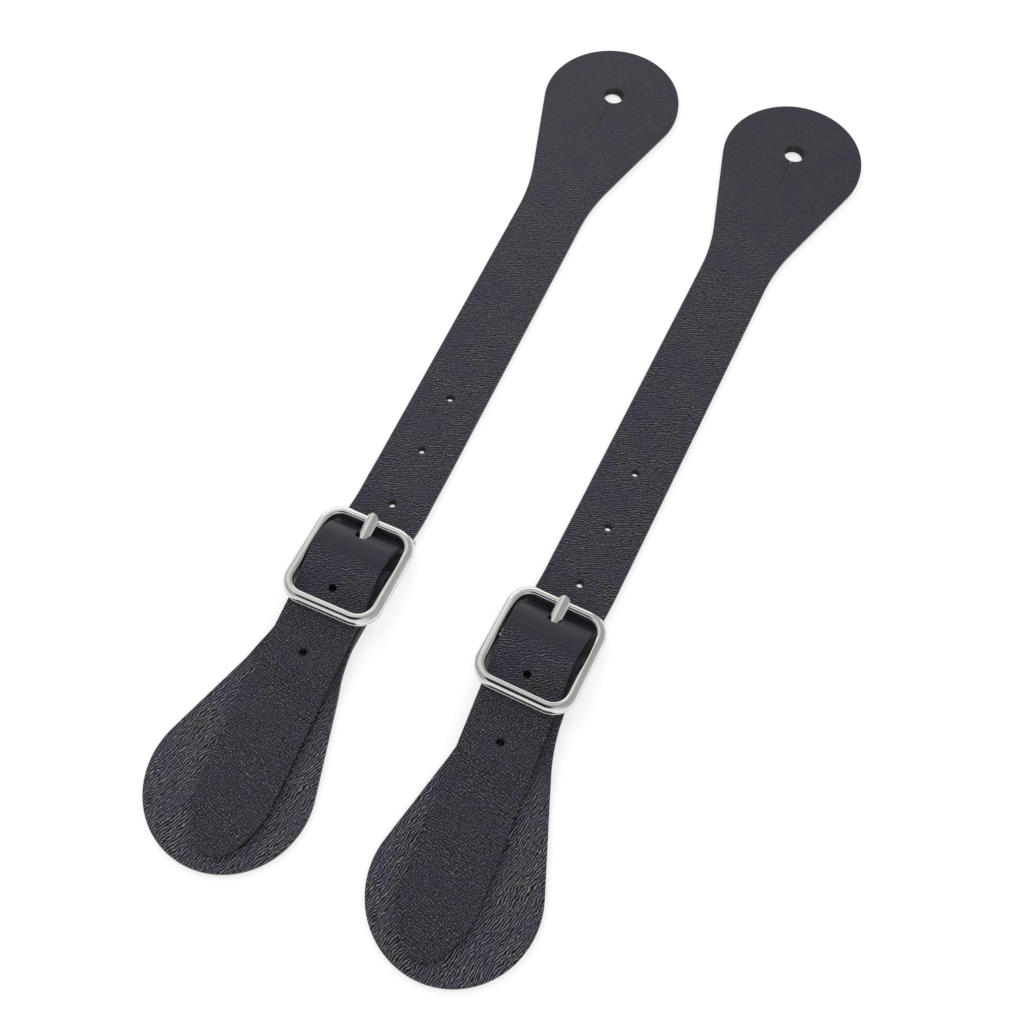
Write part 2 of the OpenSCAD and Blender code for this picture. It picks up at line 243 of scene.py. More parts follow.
def short_line():
    down_y = SHORT_DOWN_Y - bend_run(
        SHORT_MID_Z - FLAT_Z, SHORT_BEND_R, SHORT_BEND_R, SHORT_BEND_ANGLE)
    climb_y = -bend_run(BAR_Z + LOOP_MID - SHORT_MID_Z, LOOP_MID, CLIMB_R, CLIMB_ANGLE)
    return SideLine(np.vstack([
        [[-SHORT_REACH - PEAR_R - 2, FLAT_Z]],
        arc([down_y, FLAT_Z + SHORT_BEND_R], SHORT_BEND_R, 270, 270 + SHORT_BEND_ANGLE),
        arc([SHORT_DOWN_Y, SHORT_MID_Z - SHORT_BEND_R], SHORT_BEND_R, 90 + SHORT_BEND_ANGLE, 90),
        arc([climb_y, SHORT_MID_Z + CLIMB_R], CLIMB_R, 270, 270 + CLIMB_ANGLE),
        arc([0, BAR_Z], LOOP_MID, 90 + CLIMB_ANGLE, -90, 60),
        [[-FLAP_THIN_L, FLAP_T / 2], [-FLAP_L - 2, FLAP_T / 2]],
    ]))


LONG = long_line()
SHORT = short_line()


# ---------------------------------------------------------------- outlines, in (across, along)
def pear_side(strap_end):
    """The right-hand edge of a pear whose head's centre is at the origin, from its strap up."""
    outward = np.array([math.cos(FLANK_ANGLE), -math.sin(FLANK_ANGLE)])
    down = np.array([-math.sin(FLANK_ANGLE), -math.cos(FLANK_ANGLE)])
    flank_l = ((PEAR_R + NECK_R) * outward[0] - STRAP_HALF - NECK_R) / math.sin(FLANK_ANGLE)
    start = PEAR_R * outward
    neck = start + flank_l * down + NECK_R * outward
    lean = math.degrees(FLANK_ANGLE)
    return np.vstack([
        strap_end,
        arc(neck, NECK_R, 180, 180 - lean),
        arc([0, 0], PEAR_R, -lean, 90, 80),
    ])


def both_sides(right):
    """A closed outline, anticlockwise, from its right-hand edge."""
    left = right[::-1] * [-1, 1]
    keep = np.abs(left[:, 0]) > 1e-6
    return np.vstack([right, left[keep]])


def long_outline(side):
    """The blunt tip, the strap and the pear."""
    reach = LONG_REACH[side]
    side_x = TIP_SIDE_R - TIP_HALF
    end_l = math.sqrt((TIP_SIDE_R - TIP_END_R) ** 2 - side_x**2)
    start_y = end_l + TIP_END_R - TIP_REACH
    turn = -math.degrees(math.atan2(end_l, side_x))
    edge = np.vstack([
        arc([0, start_y - end_l], TIP_END_R, -90, turn),
        arc([-side_x, start_y], TIP_SIDE_R, turn, 0),
        [[STRAP_HALF, -10.0]],
    ])
    pear = pear_side([[STRAP_HALF, 20 - reach]]) + [0, reach - HEAD_BACK]
    points = both_sides(np.vstack([edge, pear]))
    fine = spaced(points, EDGE_STEP, closed=True)
    return np.c_[fine[:, 0], [LONG.where(y) for y in fine[:, 1]]]


def short_outline():
    """From the end of the flap, round the fold and down to the pear's end."""
    pear = spaced(pear_side([[STRAP_HALF, 12 - SHORT_REACH]]) * [1, -1], EDGE_STEP)
    y = pear[:, 1] - SHORT_REACH
    s = [SHORT.where(v) for v in y]
    flap_end = SHORT.where(-FLAP_L, last=True)
    right = np.vstack([np.c_[pear[:, 0], s][::-1], [[STRAP_HALF, flap_end], [0, flap_end]]])
    return spaced(both_sides(right), EDGE_STEP, closed=True)


def keyhole(line, centre_y, towards, radius, slant=0.0):
    """A button hole with its slit, which narrows as it runs towards the strap. towards is 1
    where y grows from the strap to the pear, or else -1."""
    end = BUTTON_R + SLIT_L
    a = math.degrees(math.asin(SLIT_HALF / radius))
    ring = arc([0, -slant], radius, -90 + a, 270 - a, 64)
    foot = -radius - slant
    slit = resampled([
        [-SLIT_HALF, foot], [-SLIT_END_HALF, -end], [SLIT_END_HALF, -end], [SLIT_HALF, foot]], 84)
    loop = np.vstack([ring, slit[1:-1]]) * [1, towards]
    if towards > 0:
        loop = loop[::-1]
    return np.c_[loop[:, 0], [line.where(centre_y + v) for v in loop[:, 1]]]


def oval(centre, half_u, half_s, steps=40, power=2.0):
    """A closed loop round a hole, clockwise: an ellipse, or squarer with a higher power."""
    a = -np.linspace(0, 2 * math.pi, steps, endpoint=False)
    c, s = np.cos(a), np.sin(a)
    return np.c_[
        centre[0] + half_u * np.sign(c) * np.abs(c) ** (2 / power),
        centre[1] + half_s * np.sign(s) * np.abs(s) ** (2 / power),
    ]


# ---------------------------------------------------------------- a cut sheet of leather
class Cut:
    """A cut edge: its loop on the grain side and on the flesh side, and how each is rounded."""

    def __init__(self, top, bottom=None, round_top=0.3, round_bottom=0.2):
        self.top = top
        self.bottom = top if bottom is None else bottom
        self.round_top = round_top
        self.round_bottom = round_bottom


def face_mesh(loops, rounds, rows, step):
    """Flat points, how far each is let down, how far it is from a cut, and triangles, for one
    side of a sheet. The first loop is the outline, and the leather is left of each loop's run."""
    points, drops, edges, depth = [], [], [], []
    every = np.vstack(loops)
    for loop, r in zip(loops, rounds):
        first = sum(len(p) for p in points)
        edges += [(first + i, first + (i + 1) % len(loop)) for i in range(len(loop))]
        points.append(loop)
        drops.append(np.full(len(loop), r))
        depth.append(np.zeros(len(loop)))
    # Three rows of points over each rounded edge, and one inside it
    for loop, r in zip(loops, rounds):
        side = leftward(loop)
        for angle in (30, 60, 90):
            a = math.radians(angle)
            d = r * (1 - math.cos(a))
            ring = loop + d * side
            ring = ring[nearest(ring, every) > 0.97 * d]
            points.append(ring)
            drops.append(np.full(len(ring), r * (1 - math.sin(a))))
            depth.append(np.full(len(ring), d))
        ring = (loop + (r + RIM) * side)[::2]
        ring = ring[nearest(ring, every) > r + RIM - 0.03]
        points.append(ring)
        drops.append(np.zeros(len(ring)))
        depth.append(np.full(len(ring), r + RIM))
    # A staggered grid over the rest, clear of those rows
    low, high = loops[0].min(0), loops[0].max(0)
    grid = []
    for i, s in enumerate(rows):
        u = np.arange(low[0] + (i % 2) * step / 2, high[0], step)
        grid.append(np.c_[u, np.full(len(u), s)])
    grid = np.vstack(grid)
    grid = grid[inside(grid, loops[0])]
    for loop in loops[1:]:
        grid = grid[~inside(grid, loop)]
    grid = grid[nearest(grid, np.vstack([every, *points])) > 0.55 * step]
    points.append(grid)
    drops.append(np.zeros(len(grid)))
    depth.append(np.full(len(grid), FAR))
    points, drops, depth = np.vstack(points), np.concatenate(drops), np.concatenate(depth)
    found = delaunay_2d_cdt([Vector(p) for p in points], edges, [], 0, 1e-6)
    verts, origin = np.array([tuple(v) for v in found[0]]), found[3]
    tris = np.array([f for f in found[2] if len(f) == 3])
    middle = verts[tris].mean(1)
    keep = inside(middle, loops[0])
    for loop in loops[1:]:
        keep &= ~inside(middle, loop)
    back = np.array([o[0] if o else -1 for o in origin])
    if (back < 0).any():
        raise RuntimeError("two edges of a sheet cross")
    tris = back[tris[keep]]
    a, b, c = (points[tris[:, i]] for i in range(3))
    turn = (b[:, 0] - a[:, 0]) * (c[:, 1] - a[:, 1]) - (b[:, 1] - a[:, 1]) * (c[:, 0] - a[:, 0])
    tris[turn < 0] = tris[turn < 0][:, ::-1]
    return points, drops, depth, tris


def leather_piece(name, cuts, rows, lay, half, zones, dish):
    """One strap's mesh. lay puts (u, s, h) in place, half is half the thickness at s, zones
    gives the grain's weights at (u, s), and dish how far each side is pressed in there."""
    sides = []
    for top in (True, False):
        loops = [c.top if top else c.bottom for c in cuts]
        rounds = [c.round_top if top else c.round_bottom for c in cuts]
        sides.append(face_mesh(loops, rounds, rows, GRID_STEP))
    co, flat, faces, kinds = [], [], [], []
    first = 0
    starts = []
    for sign, (points, drops, depth, tris) in zip((1, -1), sides):
        u, s = points[:, 0], points[:, 1]
        h = sign * (half(s) - drops - dish(u, s, sign > 0))
        co.append(lay(u, s, h))
        flat.append(np.c_[u, s, h])
        faces += [list(t if sign > 0 else t[::-1]) for t in tris + first]
        edge = depth[tris].min(1) < 1e-6
        kinds += list(np.where(edge & (depth[tris].max(1) < 1), 1, 0 if sign > 0 else 2))
        starts.append(first)
        first += len(points)
    at = 0
    for cut in cuts:
        count = len(cut.top)
        top = flat[0][at : at + count]
        bottom = flat[1][at : at + count]
        before = np.arange(count) + starts[0] + at
        for k in range(1, WALL_STEPS + 1):
            if k < WALL_STEPS:
                w = k / WALL_STEPS
                ring = top * (1 - w) + bottom * w
                wear = np.array([
                    noise.noise(Vector((p[0] * 0.9, p[1] * 0.9, 7.0 * k))) for p in ring])
                ring[:, :2] += leftward(cut.top) * (0.03 + 0.03 * wear)[:, None]
                co.append(lay(ring[:, 0], ring[:, 1], ring[:, 2]))
                flat.append(ring)
                after = np.arange(count) + first
                first += count
            else:
                after = np.arange(count) + starts[1] + at
            for i in range(count):
                j = (i + 1) % count
                faces.append([before[i], after[i], after[j], before[j]])
                kinds.append(1)
            before = after
        at += count
    co, flat = np.vstack(co) * MM, np.vstack(flat)
    mesh = bpy.data.meshes.new(name)
    mesh.from_pydata(co.tolist(), [], [list(map(int, f)) for f in faces])
    mesh.polygons.foreach_set("material_index", np.array(kinds, np.int32))
    mesh.polygons.foreach_set("use_smooth", np.ones(len(faces), bool))
    for attribute, values in (("flat", flat), ("zone", zones(flat[:, 0], flat[:, 1]))):
        a = mesh.attributes.new(attribute, "FLOAT_VECTOR", "POINT")
        a.data.foreach_set("vector", np.asarray(values, np.float32).ravel())
    for m in (GRAIN, EDGE, FLESH):
        mesh.materials.append(m)
    return linked(name, mesh)


def linked(name, mesh):
    """A new object in the scene with this mesh."""
    mesh.validate()
    obj = bpy.data.objects.new(name, mesh)
    bpy.context.scene.collection.objects.link(obj)
    return obj


def placed(side, x, y, z):
    """From a strap's own place, with its centre bar at y = 0, into the row's frame."""
    c, s = math.cos(-side * TOE), math.sin(-side * TOE)
    return np.c_[
        CENTRE_X + side * BUCKLE_GAP / 2 + x * c - y * s, BAR_Y + x * s + y * c, z
    ]


def rows_for(line, bends, bend_step):
    """Where the rows of points lie along a sheet: nearer together in the bends."""
    s, out = 0, []
    while s < line.s[-1]:
        out.append(s)
        s += bend_step if bends[0] < s < bends[1] else ROW_STEP
    return np.array(out) + 1e-4


# ---------------------------------------------------------------- materials
def shader(name, **values):
    """A new material with these values on its main shader."""
    m = bpy.data.materials.new(name)
    m.use_nodes = True
    bsdf = m.node_tree.nodes["Principled BSDF"]
    for key, value in values.items():
        bsdf.inputs[key.replace("_", " ")].default_value = value
    return m, m.node_tree, bsdf


class Nodes:
    """Short ways to add nodes to a tree."""

    def __init__(self, tree):
        self.tree = tree

    def add(self, kind, inputs=(), **settings):
        node = self.tree.nodes.new(kind)
        for key, value in settings.items():
            setattr(node, key, value)
        for key, value in dict(inputs).items():
            if isinstance(value, bpy.types.NodeSocket):
                self.tree.links.new(value, node.inputs[key])
            else:
                node.inputs[key].default_value = value
        return node

    def math(self, operation, a, b=0.0, c=0.0, clamp=False):
        node = self.add("ShaderNodeMath", {0: a, 1: b, 2: c}, operation=operation)
        node.use_clamp = clamp
        return node.outputs[0]

    def vector(self, operation, a, b=(0, 0, 0)):
        return self.add("ShaderNodeVectorMath", {0: a, 1: b}, operation=operation).outputs[0]

    def noise(self, vector, scale, detail=2.0, roughness=0.5):
        node = self.add("ShaderNodeTexNoise", {
            "Vector": vector, "Scale": scale, "Detail": detail, "Roughness": roughness})
        return node.outputs

    def ramp(self, value, low, high, to_low=0.0, to_high=1.0):
        node = self.add("ShaderNodeMapRange", {
            "Value": value, "From Min": low, "From Max": high,
            "To Min": to_low, "To Max": to_high}, interpolation_type="SMOOTHSTEP")
        return node.outputs[0]

    def mix(self, factor, a, b):
        node = self.add("ShaderNodeMix", {"Factor": factor}, data_type="RGBA")
        for key, value in ((6, a), (7, b)):
            if isinstance(value, bpy.types.NodeSocket):
                self.tree.links.new(value, node.inputs[key])
            else:
                node.inputs[key].default_value = (*value, 1)
        return node.outputs[2]


def grain_material():
    """The dyed grain side, darkened in its hollows as painted shade and paled on its tops as painted
    highlights. The flat attribute is the place on the uncut hide in millimetres; the zone
    attribute weighs the wrinkles across, the ridges along the strap and the polish."""
    m, tree, bsdf = shader("Strap grain", Specular_IOR_Level=0.25)
    n = Nodes(tree)
    flat = n.add("ShaderNodeAttribute", attribute_name="flat").outputs["Vector"]
    zone = n.add("ShaderNodeSeparateXYZ", {
        0: n.add("ShaderNodeAttribute", attribute_name="zone").outputs["Vector"]}).outputs
    across, along, polish = zone[0], zone[1], zone[2]

    def warped(vector, scale, reach):
        swirl = n.noise(flat, scale, 1.0)["Color"]
        return n.vector("ADD", vector, n.vector(
            "MULTIPLY", n.vector("SUBTRACT", swirl, (0.5, 0.5, 0.5)), (reach, reach, 0)))

    bent = warped(warped(flat, 0.06, 5.0), 0.4, 0.8)
    apart = n.add("ShaderNodeSeparateXYZ", {0: bent}).outputs
    u, v = apart[0], apart[1]

    def ripples(lean, spacing, length, low, high):
        """Ridges this far apart, broken about every length, that lean this many degrees from
        across the strap towards along it."""
        c, sn = math.cos(math.radians(lean)), math.sin(math.radians(lean))
        run = n.math("ADD", n.math("MULTIPLY", u, c), n.math("MULTIPLY", v, sn))
        over = n.math("SUBTRACT", n.math("MULTIPLY", v, c), n.math("MULTIPLY", u, sn))
        at = n.add("ShaderNodeCombineXYZ", {
            0: n.math("MULTIPLY", run, 1 / length), 1: n.math("MULTIPLY", over, 0.45 / spacing),
        }).outputs[0]
        broken = n.noise(at, 1.0, 1.0)["Fac"]
        wave = n.math("SINE", n.math("ADD", n.math("MULTIPLY", over, 2 * math.pi / spacing),
                                     n.math("MULTIPLY", broken, 11.0)))
        weak = n.ramp(n.noise(at, 1.7, 1.0)["Fac"], 0.3, 0.6, 0.3, 1.0)
        return n.math("MULTIPLY", n.ramp(wave, low, high), weak)

    ridges = ripples(70, 0.78, 2.0, -0.4, 0.9)
    wrinkles = ripples(22, 0.86, 1.3, -0.1, 0.95)
    pebbles = n.math(
        "MULTIPLY", ripples(62, 0.74, 1.0, -1.0, 0.3), ripples(-15, 0.84, 1.0, -1.0, 0.3))
    grain = n.add("ShaderNodeMix", {0: across, 2: pebbles, 3: wrinkles}).outputs[0]
    grain = n.add("ShaderNodeMix", {0: along, 2: grain, 3: ridges}).outputs[0]
    fine = n.noise(flat, 2.4, 2.0, 0.6)["Fac"]
    patch = n.noise(flat, 0.085, 3.0)["Fac"]
    depth = n.math(
        "MULTIPLY", n.math("SUBTRACT", 1.0, polish), n.ramp(patch, 0.25, 0.75, 0.7, 1.1))
    height = n.math("ADD", n.math("MULTIPLY", grain, depth), n.math("MULTIPLY", fine, 0.12))
    bump = n.add("ShaderNodeBump", {"Strength": 1.0, "Distance": 0.0002, "Height": height})
    tree.links.new(bump.outputs[0], bsdf.inputs["Normal"])
    dye = n.mix(n.ramp(patch, 0.35, 0.65), (0.050, 0.048, 0.073), (0.052, 0.052, 0.064))
    # How many times as pale as the plain dye the hollows (painted shade) and the tops (painted
    # highlights) are
    hollow_shade = n.ramp(along, 0.1, 0.8, 0.22, 0.02)
    top = n.ramp(along, 0.1, 0.8, 5.2, 7.5)
    painted_grain_light = n.math("ADD", hollow_shade, n.math("MULTIPLY", n.math("SUBTRACT", top, hollow_shade), grain))
    amount = n.math("MULTIPLY", depth, 1.0, clamp=True)
    shade = n.add("ShaderNodeMix", {0: amount, 2: 1.0, 3: painted_grain_light}).outputs[0]
    tint = n.add("ShaderNodeCombineXYZ", {
        0: shade, 1: shade, 2: n.math("POWER", shade, 0.93)}).outputs[0]
    tree.links.new(n.vector("MULTIPLY", dye, tint), bsdf.inputs["Base Color"])
    rough = n.math(
        "SUBTRACT", n.ramp(fine, 0.2, 0.8, 0.40, 0.56), n.math("MULTIPLY", polish, 0.12))
    tree.links.new(rough, bsdf.inputs["Roughness"])
    return m


def edge_material():
    """The cut edge: dyed, burnished, with the fibre showing brown in places."""
    m, tree, bsdf = shader("Strap edge", Roughness=0.55)
    n = Nodes(tree)
    flat = n.add("ShaderNodeAttribute", attribute_name="flat").outputs["Vector"]
    fibre = n.noise(n.vector("MULTIPLY", flat, (2.2, 2.2, 5.0)), 1.0, 4.0)["Fac"]
    worn = n.noise(flat, 0.25, 2.0)["Fac"]
    colour = n.mix(n.math("MULTIPLY", n.ramp(fibre, 0.45, 0.75), n.ramp(worn, 0.4, 0.7)),
                   (0.014, 0.013, 0.014), (0.085, 0.056, 0.040))
    tree.links.new(colour, bsdf.inputs["Base Color"])
    bump = n.add("ShaderNodeBump", {"Strength": 0.5, "Distance": 0.0001, "Height": fibre})
    tree.links.new(bump.outputs[0], bsdf.inputs["Normal"])
    return m


def flesh_material():
    """The napped underside, grey-black with short fibre."""
    m, tree, bsdf = shader("Strap flesh side", Roughness=0.9, Specular_IOR_Level=0.2)
    bsdf.inputs["Sheen Weight"].default_value = 0.35
    bsdf.inputs["Sheen Roughness"].default_value = 0.5
    n = Nodes(tree)
    flat = n.add("ShaderNodeAttribute", attribute_name="flat").outputs["Vector"]
    nap = n.noise(n.vector("MULTIPLY", flat, (3.0, 2.0, 0)), 1.0, 5.0, 0.65)["Fac"]
    cloud = n.noise(flat, 0.12, 3.0)["Fac"]
    colour = n.mix(n.ramp(cloud, 0.3, 0.7), (0.030, 0.028, 0.030), (0.052, 0.047, 0.046))
    colour = n.mix(n.ramp(nap, 0.55, 0.8), colour, (0.09, 0.082, 0.078))
    tree.links.new(colour, bsdf.inputs["Base Color"])
    bump = n.add("ShaderNodeBump", {"Strength": 0.6, "Distance": 0.0002, "Height": nap})
    tree.links.new(bump.outputs[0], bsdf.inputs["Normal"])
    return m


def nickel_material():
    """Bright nickel plate, faintly uneven in colour, gloss and surface."""
    m, tree, bsdf = shader("Nickel plate", Metallic=1.0)
    n = Nodes(tree)
    place = n.add("ShaderNodeTexCoord").outputs["Object"]
    cloud = n.noise(place, 240.0, 3.0)["Fac"]
    speck = n.noise(place, 2400.0, 2.0)["Fac"]
    colour = n.mix(cloud, (0.68, 0.665, 0.645), (0.80, 0.785, 0.765))
    tree.links.new(colour, bsdf.inputs["Base Color"])
    tree.links.new(n.ramp(cloud, 0.3, 0.7, 0.07, 0.14), bsdf.inputs["Roughness"])
    height = n.math("ADD", cloud, n.math("MULTIPLY", speck, 0.05))
    bump = n.add("ShaderNodeBump", {"Strength": 0.3, "Distance": 0.00012, "Height": height})
    tree.links.new(bump.outputs[0], bsdf.inputs["Normal"])
    return m


GRAIN, EDGE, FLESH, NICKEL = grain_material(), edge_material(), flesh_material(), nickel_material()


# ---------------------------------------------------------------- the long straps
def crest_s(angle):
    """The distance along the long strap at this angle past its crest, towards the head."""
    return LONG.where(CREST_Y) + CREST_R * math.radians(angle)


def drift_x(side, y):
    """The sideways place of the long strap's middle line, and its slope, at y."""
    ys, xs = np.array(DRIFT[side], float)[::-1].T
    fine = np.linspace(ys[0], ys[-1], 600)
    x = np.interp(fine, ys, xs)
    soft = np.hanning(51)
    soft /= soft.sum()
    x = np.convolve(np.pad(x, 25, mode="reflect", reflect_type="odd"), soft, "valid")
    y = np.asarray(y, float)
    return np.interp(y, fine, x), np.interp(y, fine, np.gradient(x, fine))


def prong_hole(x, angles):
    """The prong's hole at x, between two angles past the crest."""
    start, end = angles
    return oval([x, (crest_s(start) + crest_s(end)) / 2], PRONG_HOLE_HALF,
                CREST_R * math.radians(end - start) / 2, 48, power=3.2)


def long_strap(side):
    name = SIDES[side]

    def lay(u, s, h):
        # Slightly wavy, lifted a little at the head and past the buckle, its tip turned by the drift
        y, z, ny, nz = LONG.at(s)
        x, slope = drift_x(side, y)
        turned = slope * smooth((-25 - y) / 35)
        wave = WAVE * (1 + np.sin(s / 9.0 + side) * np.cos(u / 7.0 + s / 31.0))
        lift = HEAD_LIFT * smooth((y - 150) / 60) + BUCKLE_LIFT * np.exp(-((y - 32) / 7) ** 2)
        return placed(side, x + u, y + h * ny - turned * u, z + h * nz + wave + lift)

    def dish(u, s, top):
        # Pressed in on top round the adjustment holes, deeper on the tail
        if not top:
            return 0.0
        out = np.zeros(len(u))
        for y in HOLE_PLACES:
            d = np.hypot(u, s - LONG.where(y)) - HOLE_R
            out += (TAIL_DENT if y < 0 else SHAFT_DENT) * np.exp(-(np.maximum(d, 0) / 0.9) ** 2)
        return out

    def zones(u, s):
        # Wrinkled on the shaft and in the buckle's window, polished on the hump and the head
        y = LONG.at(s)[0]
        across = smooth((y - 8) / 12) * (1 - smooth((y - 175) / 60))
        crest = smooth((s - crest_s(-50)) / 6) * (1 - smooth((s - crest_s(72)) / 4))
        polish = np.maximum(HUMP_POLISH * crest, HEAD_POLISH * smooth((y - 150) / 70))
        window = smooth((y + 22) / 10) * (1 - smooth((y - 2) / 6))
        return np.c_[0.8 * np.maximum(across, window), np.zeros(len(y)), polish]

    prong_x = BUCKLE_X[side] - float(drift_x(side, 10.0)[0])
    button_y = LONG_REACH[side] + BUTTON_BACK
    cuts = [
        Cut(long_outline(side)),
        Cut(keyhole(LONG, button_y, 1, BUTTON_R),
            keyhole(LONG, button_y, 1, BUTTON_UNDER_R, BUTTON_SLANT), 0.08, 0.08),
        Cut(prong_hole(prong_x, PRONG_HOLE_TOP), prong_hole(prong_x, PRONG_HOLE_UNDER), 0.2, 0.1),
    ]
    cuts += [
        Cut(oval([0, LONG.where(y)], HOLE_R, HOLE_R, 32),
            oval([0, LONG.where(y) - HOLE_SLANT], HOLE_UNDER_R, HOLE_UNDER_R, 32), 0.12, 0.1)
        for y in HOLE_PLACES
    ]
    rows = rows_for(LONG, (LONG.where(-30), LONG.where(26)), 0.6)
    piece = leather_piece(
        f"{name}_long_strap_leather", cuts, rows, lay,
        lambda s: np.full(np.shape(s), LEATHER_T / 2), zones, dish)
    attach(piece, f"{name}_strap")
    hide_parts(f"{name}_long_strap")


# ---------------------------------------------------------------- the short straps
def short_strap(side):
    name = SIDES[side]

    def lay(u, s, h):
        # Turned under the tip, and slightly wavy on the pear
        y, z, ny, nz = SHORT.at(s)
        a = SHORT_TURN[side] * smooth((-3 - y) / 16)
        c, sn = np.cos(a), np.sin(a)
        yy = y + h * ny
        wave = WAVE * (1 + np.sin(s / 8.0 - side) * np.cos(u / 6.0 - s / 27.0))
        wave = wave * smooth((-45 - y) / 20)
        return placed(side, FOLD_X[side] + u * c - yy * sn, u * sn + yy * c, z + h * nz + wave)

    top_rivet, under_rivet = SHORT.where(RIVET_Y), SHORT.where(RIVET_Y, last=True)

    def dish(u, s, top):
        # Pressed in on the grain side by the rivets' caps and heads
        if not top:
            return 0.0
        out = np.zeros(len(u))
        for x in (-RIVET_X, RIVET_X):
            for at, depth in ((top_rivet, CAP_DENT), (under_rivet, HEAD_DENT)):
                d = np.hypot(u - x, s - at) - RIVET_HEAD_R
                out += depth * (1 - smooth((d + 0.05) / 0.6))
        return out

    def half(s):
        # The flap under the fold is pared thinner
        thin = smooth((s - SHORT.where(0, last=True)) / FLAP_THIN_L)
        return (LEATHER_T * (1 - thin) + FLAP_T * thin) / 2

    def zones(u, s):
        # Ridged along the pear, polished on the fold
        y = SHORT.at(s)[0]
        along = 0.9 * smooth((-34 - y) / 14) * (s < under_rivet - 12)
        fold = smooth((s - SHORT.where(-9)) / 5)
        fold = fold * (1 - smooth((s - SHORT.where(-6, last=True)) / 5))
        return np.c_[np.full(len(y), 0.2), along, FOLD_POLISH * fold]

    slot_start, slot_end = SHORT.where(-SLOT_BACK), SHORT.where(-SLOT_BACK, last=True)
    slot_place = [BUCKLE_X[side] - FOLD_X[side], (slot_start + slot_end) / 2]
    button_y = -SHORT_REACH - BUTTON_BACK
    cuts = [
        Cut(short_outline()),
        Cut(keyhole(SHORT, button_y, -1, BUTTON_R),
            keyhole(SHORT, button_y, -1, BUTTON_UNDER_R), 0.08, 0.08),
        Cut(oval(slot_place, SLOT_HALF, (slot_end - slot_start) / 2, 90, 7.0),
            round_top=0.15, round_bottom=0.1),
    ]
    cuts += [Cut(oval([x, at], RIVET_POST_R, RIVET_POST_R, 32), round_top=0.05, round_bottom=0.05)
             for x in (-RIVET_X, RIVET_X) for at in (top_rivet, under_rivet)]
    rows = rows_for(SHORT, (SHORT.where(-14), SHORT.where(-3, last=True)), 0.5)
    piece = leather_piece(
        f"{name}_short_strap_leather", cuts, rows, lay, half, zones, dish)
    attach(piece, f"{name}_short")
    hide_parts(f"{name}_short_strap")


for side in (LEFT, RIGHT):
    long_strap(side)
    short_strap(side)


# ---------------------------------------------------------------- the metal
def frame_section():
    """The frame's section as (outwards, up), anticlockwise from its inner foot."""
    half = SECTION_H / 2
    foot, top, inner = SECTION_FOOT_R, SECTION_TOP_R, SECTION_INNER_R
    return np.vstack([
        arc([foot, foot - half], foot, 180, 270, 6),
        arc([SECTION_W - foot, foot - half], foot, 270, 360, 6),
        [[SECTION_W, CREASE_Z - CREASE], [SECTION_W - 0.7 * CREASE, CREASE_Z - 0.3 * CREASE],
         [SECTION_W - CREASE, CREASE_Z], [SECTION_W - 0.7 * CREASE, CREASE_Z + 0.3 * CREASE],
         [SECTION_W, CREASE_Z + CREASE]],
        arc([SECTION_W - top, half - top], top, 0, 90, 18),
        arc([inner, half - inner], inner, 90, 180, 10),
    ])


def ring_mesh():
    """The buckle's ring about its own middle: points and faces."""
    x, y = WINDOW_W / 2 - CORNER_R, WINDOW_L / 2 - CORNER_R
    corners = [(x, y, 0), (-x, y, 90), (-x, -y, 180), (x, -y, 270)]
    stations = []
    for n, (cx, cy, start) in enumerate(corners):
        for a in np.radians(np.linspace(start, start + 90, 25)):
            out = np.array([math.cos(a), math.sin(a)])
            stations.append((np.array([cx, cy]) + CORNER_R * out, out))
        nx, ny = corners[(n + 1) % 4][:2]
        out = np.array([math.cos(math.radians(start + 90)), math.sin(math.radians(start + 90))])
        for w in np.linspace(0, 1, 14)[1:-1]:
            at = np.array([cx * (1 - w) + nx * w, cy * (1 - w) + ny * w])
            stations.append((at + CORNER_R * out, out))
    section = frame_section()
    k = len(section)
    points = np.vstack([
        np.c_[at + section[:, :1] * out, section[:, 1]] for at, out in stations])
    faces = []
    for i in range(len(stations)):
        j = (i + 1) % len(stations)
        for q in range(k):
            r = (q + 1) % k
            faces.append([i * k + q, j * k + q, j * k + r, i * k + r])
    return points, faces


def lug_mesh(x):
    """One lug, from the centre bar up into the ring's side bar at x."""
    foot = FRAME_RISE - SECTION_H / 2 + SECTION_FOOT_R
    profile = np.vstack([arc([0, 0], LUG_R, 180, 360, 32), [[LUG_R, foot], [-LUG_R, foot]]])
    k = len(profile)
    ends = [np.c_[np.full(k, x + e * LUG_W / 2), profile] for e in (-1, 1)]
    faces = [list(range(k))[::-1], list(range(k, 2 * k))]
    faces += [[(q + 1) % k, k + (q + 1) % k, k + q, q] for q in range(k)]
    return np.vstack(ends), faces


def buckle_frame(side):
    """The ring and its lugs, tilted about the centre bar as in the CAD."""
    name = SIDES[side]
    points, faces = ring_mesh()
    points = points + [0, -RING_BACK, FRAME_RISE]
    for s in (-1, 1):
        more, more_faces = lug_mesh(s * (WINDOW_W / 2 + LUG_INSET + LUG_W / 2))
        faces += [[v + len(points) for v in f] for f in more_faces]
        points = np.vstack([points, more])
    c, sn = math.cos(-FRAME_TILT), math.sin(-FRAME_TILT)
    y, z = points[:, 1] * c - points[:, 2] * sn, points[:, 1] * sn + points[:, 2] * c
    co = placed(side, BUCKLE_X[side] + points[:, 0], y, BAR_Z + z) * MM
    mesh = bpy.data.meshes.new(f"{name}_buckle_metal")
    mesh.from_pydata(co.tolist(), [], faces)
    mesh.polygons.foreach_set("use_smooth", np.array([len(f) == 4 for f in faces]))
    mesh.materials.append(NICKEL)
    obj = linked(f"{name}_buckle_metal", mesh)
    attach(obj, f"{name}_buckle")
    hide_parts(f"{name}_buckle_frame")


for side in (LEFT, RIGHT):
    buckle_frame(side)
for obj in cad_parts.values():
    obj.data.materials.clear()
    obj.data.materials.append(NICKEL)


